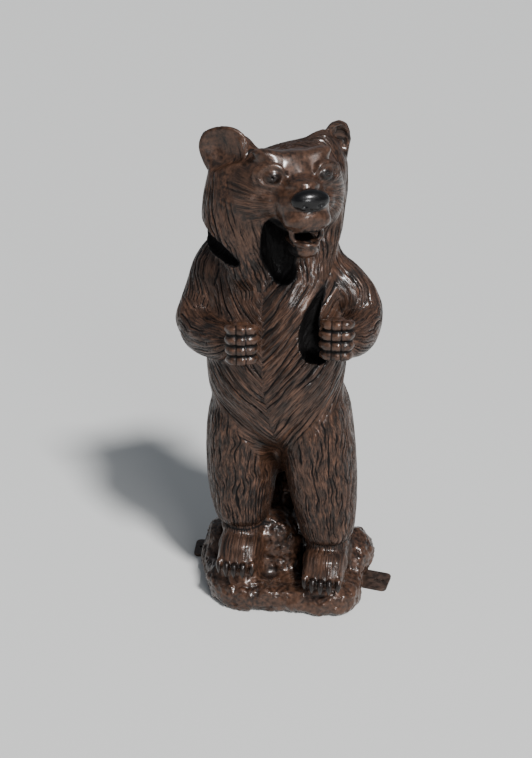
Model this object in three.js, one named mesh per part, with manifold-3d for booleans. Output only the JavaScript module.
// A standing bear cast in bronze after a chainsaw carving: fists held at the chest, head turned to
// its left, mouth a little open, on a rocky base that is cast with it. Two flat steel lugs at the
// base's sides bolt it down. Units are millimetres. +Z is up, the bear faces -Y and its left is +X.
// The origin is on the ground, under the middle of the whole model's box.
import * as THREE from "three";
import { mergeVertices } from "three/addons/utils/BufferGeometryUtils.js";
import Module from "manifold-3d";

const wasm = await Module();
wasm.setup();

// ---------------------------------------------------------------- driving dimensions
const BASE_TOP = 66; // the ledge that the left foot stands on
const BASE_ROUND = 18; // rounding of the base's upper edge
const HEAD_CENTRE = [4, -38, 1046];
const HEAD_TURN = 30; // degrees to the bear's left
const EAR_SPREAD = 135; // from the head's middle to each ear's middle
const EAR_TURN = 30; // degrees that each ear's cup faces outwards
const EARS = [
  { side: -1, root: { out: -14, width: 46 }, tip: { out: 0, height: 138, width: 44 } },
  { side: 1, root: { out: 0, width: 50 }, tip: { out: 18, height: 144, width: 28 } },
];
const EYE_SPREAD = 60;
const EYE_HEIGHT = 50; // above the head's middle
const EYE_RADIUS = 20;
const FINGER_PITCH = 24;
const TOE_PITCH = 21;
const LUG = { length: 112, width: 80, thick: 8, corner: 14, hole: 10, inset: 18, holePitch: 17 };
const GAP = 0.3; // between the casting and a lug let into its underside

// ---------------------------------------------------------------- solids from geometry
const vector = (point) => new THREE.Vector3(...point);
const radians = THREE.MathUtils.degToRad;

/** A closed three.js geometry as a manifold-3d solid, with its faces turned out. */
function solid(geometry) {
  const bare = geometry.index ? geometry.toNonIndexed() : geometry.clone();
  bare.deleteAttribute("normal");
  bare.deleteAttribute("uv");
  const merged = mergeVertices(bare, 1e-3);
  const vertProperties = merged.attributes.position.array;
  const triVerts = new Uint32Array(merged.index.array);
  const made = new wasm.Manifold(new wasm.Mesh({ numProp: 3, vertProperties, triVerts }));
  if (made.volume() > 0) return made;
  for (let i = 0; i < triVerts.length; i += 3) {
    [triVerts[i + 1], triVerts[i + 2]] = [triVerts[i + 2], triVerts[i + 1]];
  }
  return new wasm.Manifold(new wasm.Mesh({ numProp: 3, vertProperties, triVerts }));
}

/** A manifold-3d solid as a three.js geometry. */
function geometryOf(made) {
  const mesh = made.getMesh();
  const geometry = new THREE.BufferGeometry();
  geometry.setAttribute("position", new THREE.BufferAttribute(mesh.vertProperties, 3));
  geometry.setIndex(new THREE.BufferAttribute(mesh.triVerts, 1));
  geometry.computeVertexNormals();
  return geometry;
}

const join = (solids) => solids.reduce((whole, piece) => whole.add(piece));

/**
 * A closed skin over rings that follow a spine. Each station is [x, y, z, half width, half depth].
 * The width lies along `across`, `blunt` says how square the two ends are, and `square` how square
 * each ring is: 2 is round.
 */
function skin(stations, { sides = 24, rings = 16, blunt = 4, square = 2, across = [1, 0, 0] } = {}) {
  const spine = new THREE.CatmullRomCurve3(stations.map(([x, y, z]) => new THREE.Vector3(x, y, z)));
  const sizes = new THREE.CatmullRomCurve3(stations.map(([, , , w, d]) => new THREE.Vector3(w, d, 0)));
  const ball = new THREE.SphereGeometry(1, sides, rings);
  const place = ball.attributes.position;
  const power = 2 / square;
  const shaped = (value) => Math.sign(value) * Math.abs(value) ** power;
  for (let i = 0; i < place.count; i++) {
    const direction = new THREE.Vector3().fromBufferAttribute(place, i).normalize();
    const polar = Math.acos(THREE.MathUtils.clamp(direction.y, -1, 1));
    const even = polar / Math.PI;
    const t = THREE.MathUtils.clamp(0.4 * even + 0.3 * (1 - Math.cos(polar)), 0, 1);
    const round = (1 - Math.abs(2 * t - 1) ** blunt) ** (1 / blunt);
    const turn = Math.atan2(direction.z, direction.x);
    const along = spine.getTangent(t);
    const wide = vector(across).addScaledVector(along, -vector(across).dot(along)).normalize();
    const deep = new THREE.Vector3().crossVectors(along, wide);
    const size = sizes.getPoint(t);
    const onRim = round > 1e-6 ? 1 : 0;
    const point = spine.getPoint(t);
    point.addScaledVector(wide, size.x * round * shaped(Math.cos(turn)) * onRim);
    point.addScaledVector(deep, size.y * round * shaped(Math.sin(turn)) * onRim);
    place.setXYZ(i, point.x, point.y, point.z);
  }
  return ball;
}

/** An ellipsoid: its middle, its three half sizes and its turn about X, Y and Z in degrees. */
function ball([x, y, z], [rx, ry, rz], { turn = [0, 0, 0], sides = 20, rings = 12 } = {}) {
  const geometry = new THREE.SphereGeometry(1, sides, rings);
  geometry.scale(rx, ry, rz);
  geometry.rotateX(radians(turn[0])).rotateY(radians(turn[1])).rotateZ(radians(turn[2]));
  return geometry.translate(x, y, z);
}

/** A boulder: a faceted ball whose radius swells and shrinks by a few waves. */
function rock([x, y, z], [rx, ry, rz], { phase = 0, rough = 0.12, detail = 2 } = {}) {
  const geometry = new THREE.IcosahedronGeometry(1, detail);
  const place = geometry.attributes.position;
  for (let i = 0; i < place.count; i++) {
    const p = new THREE.Vector3().fromBufferAttribute(place, i);
    const waves = Math.sin(5 * p.x + phase) + Math.sin(6 * p.y + 2 * phase) + Math.sin(7 * p.z - phase);
    p.multiplyScalar(1 + (rough * waves) / 3);
    place.setXYZ(i, x + rx * p.x, y + ry * p.y, z + rz * p.z);
  }
  return geometry;
}

// ---------------------------------------------------------------- body
function trunk() {
  const torso = skin(
    [
      [-14, -66, 402, 18, 44],
      [-12, -44, 446, 92, 100],
      [-14, -16, 520, 156, 138],
      [-18, -6, 610, 174, 150],
      [-14, 0, 720, 168, 144],
      [-12, 10, 820, 166, 126],
      [-12, 30, 900, 146, 92],
      [-10, 30, 990, 112, 80],
    ],
    { sides: 22, rings: 13, blunt: 7, square: 2.2 },
  );
  const rump = ball([-4, 48, 436], [154, 104, 148], { sides: 14, rings: 7 });
  const hump = ball([-8, 66, 880], [136, 98, 116], { sides: 12, rings: 6 });
  const tail = skin(
    [
      [-4, 138, 470, 20, 16],
      [-4, 170, 440, 26, 18],
      [-4, 178, 395, 14, 10],
    ],
    { sides: 7, rings: 5, blunt: 3 },
  );
  return [torso, rump, hump, tail];
}

// ---------------------------------------------------------------- legs and feet
const LEGS = [
  {
    thigh: [
      [-84, 22, 590, 60, 84],
      [-97, 10, 520, 86, 116],
      [-104, 4, 440, 91, 126],
      [-104, -14, 351, 90, 116],
      [-99, -34, 268, 84, 98],
      [-94, -48, 222, 72, 84],
      [-92, -52, 190, 64, 74],
    ],
    ankle: -90,
    rise: 22, // this foot stands on a boulder
  },
  {
    thigh: [
      [66, 22, 590, 60, 84],
      [76, 10, 520, 88, 116],
      [84, 4, 440, 95, 126],
      [100, -18, 351, 93, 116],
      [117, -42, 262, 82, 100],
      [126, -56, 194, 70, 82],
      [128, -60, 162, 63, 74],
    ],
    ankle: 128,
    rise: 0,
  },
];

const leg = ({ thigh }) => skin(thigh, { sides: 13, rings: 11, blunt: 9, square: 2.3 });

function foot({ ankle, rise }) {
  return skin(
    [
      [ankle, 40, 118 + rise, 54, 52],
      [ankle, -50, 122 + rise, 58, 64],
      [ankle, -104, 112 + rise, 57, 60],
      [ankle, -142, 98 + rise, 54, 42],
      [ankle, -166, 90 + rise, 46, 26],
    ],
    { sides: 10, rings: 7, blunt: 5, square: 2.8 },
  );
}

/** Five toes side by side along a shallow arc, each ending in a hooked claw. */
function toes({ ankle, rise }) {
  const made = [];
  for (let i = -2; i <= 2; i++) {
    const x = ankle + i * TOE_PITCH;
    const front = -160 + 5 * i * i;
    made.push(ball([x, front, 99 + rise], [12, 22, 17], { sides: 6, rings: 5 }));
    made.push(
      skin(
        [
          [x, front - 8, 108 + rise, 8, 8],
          [x, front - 22, 100 + rise, 8, 9],
          [x, front - 30, 84 + rise, 6, 7],
          [x, front - 28, 66 + rise, 2, 3],
        ],
        { sides: 6, rings: 5, blunt: 3 },
      ),
    );
  }
  return made;
}

// ---------------------------------------------------------------- arms and fists
const ARMS = [
  {
    limb: [
      [-114, 22, 908, 58, 74],
      [-158, 14, 842, 68, 78],
      [-184, -2, 774, 63, 70],
      [-208, -32, 722, 57, 60],
      [-174, -84, 704, 52, 52],
      [-128, -132, 708, 49, 49],
      [-84, -174, 724, 42, 44],
    ],
    across: [-0.75, -0.65, 0],
    fist: { at: [-64, -190, 730], turn: 14 },
  },
  {
    limb: [
      [93, 24, 866, 56, 72],
      [137, 18, 813, 62, 76],
      [176, 6, 768, 62, 68],
      [190, -24, 740, 51, 54],
      [182, -74, 724, 50, 50],
      [172, -116, 728, 46, 48],
      [160, -148, 740, 40, 44],
    ],
    across: [1, 0, 0],
    fist: { at: [150, -168, 748], turn: 8 },
  },
];

const arm = ({ limb, across }) => skin(limb, { sides: 13, rings: 12, blunt: 6, across });

/** A closed fist seen from the front: a rounded block with four fingers lying level across it. */
function fist({ at, turn }) {
  const pieces = [ball([0, 4, 0], [38, 34, 49], { sides: 10, rings: 6 })];
  for (let i = 0; i < 4; i++) {
    const z = (1.5 - i) * FINGER_PITCH;
    const reach = 38 - 2.5 * Math.abs(1.5 - i);
    const front = -24 + 2 * Math.abs(1.5 - i);
    pieces.push(
      skin(
        [
          [-reach, front + 20, z, 12, 12],
          [-reach * 0.7, front, z, 13, 14],
          [0, front - 7, z, 12.5, 14],
          [reach * 0.7, front - 1, z, 13, 14],
          [reach, front + 18, z, 12, 12],
        ],
        { sides: 6, rings: 6, blunt: 4, across: [0, 0, 1] },
      ),
    );
  }
  return pieces.map((piece) => piece.rotateZ(radians(turn)).translate(...at));
}

// ---------------------------------------------------------------- head
// Built about the head's own middle, looking along -Y, then turned and set on the neck.
function skull() {
  const mane = skin(
    [
      [-34, 46, -180, 104, 72],
      [-32, 42, -136, 146, 104],
      [-23, 36, -72, 166, 118],
      [0, 38, 0, 172, 112],
      [14, 46, 58, 160, 92],
      [8, 52, 98, 120, 66],
    ],
    { sides: 17, rings: 11, blunt: 6 },
  );
  const cranium = skin(
    [
      [0, 70, 0, 120, 88],
      [0, 10, 0, 142, 94],
      [0, -40, 0, 136, 96],
      [0, -74, 5, 112, 88],
      [0, -98, 5, 82, 62],
    ],
    { sides: 16, rings: 9, blunt: 6, square: 2.5 },
  );
  const brows = [-1, 1].map((side) =>
    ball([side * 54, -58, 90], [52, 30, 15], { turn: [0, side * -10, side * 14], sides: 9, rings: 5 }),
  );
  const earRoots = [-1, 1].map((side) =>
    ball([side * 90, 30, 90], [48, 34, 34], { turn: [0, side * -30, 0], sides: 8, rings: 4 }),
  );
  return [mane, cranium, ...brows, ...earRoots];
}

/** The fur that hangs from each cheek down to the breast, with the throat's hollow between. */
function cheekRuffs() {
  const right = [
    [-106, 24, 30, 44, 40],
    [-108, 14, -30, 58, 50],
    [-100, -2, -110, 58, 50],
    [-84, -8, -180, 54, 46],
    [-70, 0, -236, 44, 36],
  ];
  const left = [
    [106, 14, 30, 44, 40],
    [105, 4, -40, 51, 48],
    [84, -20, -116, 47, 48],
    [52, -34, -176, 48, 44],
    [26, -30, -226, 42, 34],
  ];
  return [right, left].map((spine) => skin(spine, { sides: 9, rings: 7, blunt: 4 }));
}

function muzzle() {
  const snout = skin(
    [
      [0, -56, -2, 78, 50],
      [0, -100, -8, 66, 48],
      [0, -140, -14, 56, 44],
      [0, -170, -18, 46, 37],
    ],
    { sides: 14, rings: 7, blunt: 4, square: 2.3 },
  );
  const noseLeather = ball([0, -164, 8], [41, 22, 23], { turn: [-10, 0, 0], sides: 10, rings: 6 });
  const jaw = skin(
    [
      [0, -20, -104, 56, 44],
      [0, -90, -94, 36, 27],
      [0, -130, -90, 31, 22],
      [0, -160, -86, 27, 16],
    ],
    { sides: 9, rings: 7, blunt: 4 },
  );
  return [snout, noseLeather, jaw];
}

/** The deep hollow under the jaw, between the two hanging ruffs. */
const throatHollow = () => ball([-30, -112, -132], [36, 64, 90], { sides: 10, rings: 6 });

const mouthHollow = () => ball([0, -156, -67], [20, 44, 11], { sides: 10, rings: 6 });

/** A cupped ear: a thick blunt leaf, hollowed in front and turned outwards. */
function ear({ side, root, tip }) {
  const facing = radians(side * EAR_TURN);
  const across = [Math.cos(facing), Math.sin(facing), 0];
  const out = (x) => side * (EAR_SPREAD + x);
  const leaf = skin(
    [
      [out(root.out - 6), 46, 10, root.width - 4, 36],
      [out(root.out), 48, 64, root.width + 2, 30],
      [out((root.out + tip.out) / 2 + 4), 50, 106, 50, 23],
      [out(tip.out), 50, tip.height, tip.width, 13],
    ],
    { sides: 12, rings: 8, blunt: 4, across },
  );
  const front = new THREE.Vector3(Math.sin(facing), -Math.cos(facing), 0).multiplyScalar(26);
  const middle = [out(0) + front.x, 50 + front.y, 98];
  const cup = ball(middle, [38, 24, 38], { turn: [0, 0, side * EAR_TURN], sides: 10, rings: 6 });
  return solid(leaf).subtract(solid(cup));
}

/** A round eyeball in its socket with a raised lid around it. */
function eye(side) {
  const at = [side * EYE_SPREAD, -94, EYE_HEIGHT];
  const facing = side * 18;
  const lid = new THREE.TorusGeometry(EYE_RADIUS + 3, 5, 5, 12);
  lid.scale(1.25, 1, 1).rotateX(Math.PI / 2).rotateZ(radians(facing)).translate(...at);
  const eyeball = ball(at, [EYE_RADIUS + 2, 15, EYE_RADIUS], { turn: [0, 0, facing], sides: 9, rings: 6 });
  return [eyeball, lid];
}

function head() {
  const furred = join([...skull(), ...cheekRuffs()].map(solid)).subtract(solid(throatHollow()));
  const faced = join([furred, ...[...muzzle(), ...eye(-1), ...eye(1)].map(solid)]);
  const carved = join([faced.subtract(solid(mouthHollow())), ...EARS.map(ear)]);
  const geometry = geometryOf(carved);
  return solid(geometry.rotateZ(radians(HEAD_TURN)).translate(...HEAD_CENTRE));
}

// ---------------------------------------------------------------- base
/** The base slab: a rounded outline drawn through its corners, with a soft upper edge. */
function baseSlab() {
  const corners = [
    [-84, -190],
    [50, -172],
    [180, -168],
    [216, -136],
    [221, -50],
    [224, 60],
    [190, 140],
    [60, 176],
    [-90, 176],
    [-200, 130],
    [-234, 50],
    [-212, -30],
    [-180, -114],
    [-140, -172],
  ];
  const outline = new THREE.CatmullRomCurve3(
    corners.map(([x, y]) => new THREE.Vector3(x, y, 0)),
    true,
  );
  const inset = ({ x, y }) => new THREE.Vector2(x, y).multiplyScalar(1 - BASE_ROUND / 200);
  const shape = new THREE.Shape(outline.getSpacedPoints(32).slice(0, -1).map(inset));
  const slab = new THREE.ExtrudeGeometry(shape, {
    depth: BASE_TOP - BASE_ROUND,
    bevelThickness: BASE_ROUND,
    bevelSize: BASE_ROUND,
    bevelSegments: 2,
  });
  return slab; // its lower rounding lies below the ground and is cut off there
}

function boulders() {
  return [
    rock([-8, 88, 134], [104, 82, 158], { phase: 1.1, rough: 0.14 }), // the stump behind the legs
    rock([-10, -16, 104], [78, 78, 116], { phase: 2.7, rough: 0.16 }), // its front, between the legs
    rock([180, 50, 62], [64, 90, 66], { phase: 0.4 }), // beside the left heel
    rock([-170, 50, 64], [54, 82, 60], { phase: 3.9 }), // beside the right heel
    rock([-98, -104, 54], [84, 76, 50], { phase: 5.2 }), // under the right foot
  ];
}

// ---------------------------------------------------------------- bolt-down lugs
const LUGS = [
  { name: "fixing_lug_left", at: [174, 24, 0], turn: -8 },
  { name: "fixing_lug_right", at: [-152, 96, 0], turn: 188 },
];

/** A flat bar with round corners and two bolt holes in a line, made `grown` larger all round. */
function lug({ at, turn }, grown = 0) {
  const { length, width, thick, corner, hole, inset, holePitch } = LUG;
  const half = width / 2 + grown;
  const end = length + grown;
  const bar = new THREE.Shape();
  bar.moveTo(-grown, -half);
  bar.lineTo(end - corner, -half);
  bar.absarc(end - corner, -half + corner, corner, -Math.PI / 2, 0, false);
  bar.absarc(end - corner, half - corner, corner, 0, Math.PI / 2, false);
  bar.lineTo(-grown, half);
  if (grown === 0) {
    for (const x of [length - inset, length - inset - holePitch]) {
      bar.holes.push(new THREE.Path().absarc(x, 0, hole / 2, 0, 2 * Math.PI, true));
    }
  }
  const depth = thick + 2 * grown;
  const plate = new THREE.ExtrudeGeometry(bar, { depth, bevelEnabled: false, curveSegments: 4 });
  return plate.translate(0, 0, -grown).rotateZ(radians(turn)).translate(...at);
}

// ---------------------------------------------------------------- the object
const bronze = new THREE.MeshStandardMaterial({ color: 0x3b241a, roughness: 0.36, metalness: 0.55 });
const steel = new THREE.MeshStandardMaterial({ color: 0x2a2422, roughness: 0.6, metalness: 0.5 });

const parts = [
  ...trunk(),
  ...LEGS.flatMap((row) => [leg(row), foot(row), ...toes(row)]),
  ...ARMS.flatMap((row) => [arm(row), ...fist(row.fist)]),
  baseSlab(),
  ...boulders(),
];
const ground = solid(new THREE.BoxGeometry(900, 900, 400).translate(0, 0, -200));
const pockets = LUGS.map((row) => solid(lug(row, GAP)));
const bear = [ground, ...pockets].reduce(
  (whole, cutter) => whole.subtract(cutter),
  join([...parts.map(solid), head()]),
);

const group = new THREE.Group();
const casting = new THREE.Mesh(geometryOf(bear), bronze);
casting.name = "bear_casting";
group.add(casting);
for (const row of LUGS) {
  const plate = new THREE.Mesh(lug(row), steel);
  plate.name = row.name;
  group.add(plate);
}

// The origin goes under the middle of the whole model's box.
const middle = new THREE.Box3().setFromObject(group).getCenter(new THREE.Vector3());
group.position.set(-middle.x, -middle.y, 0);

export default group;
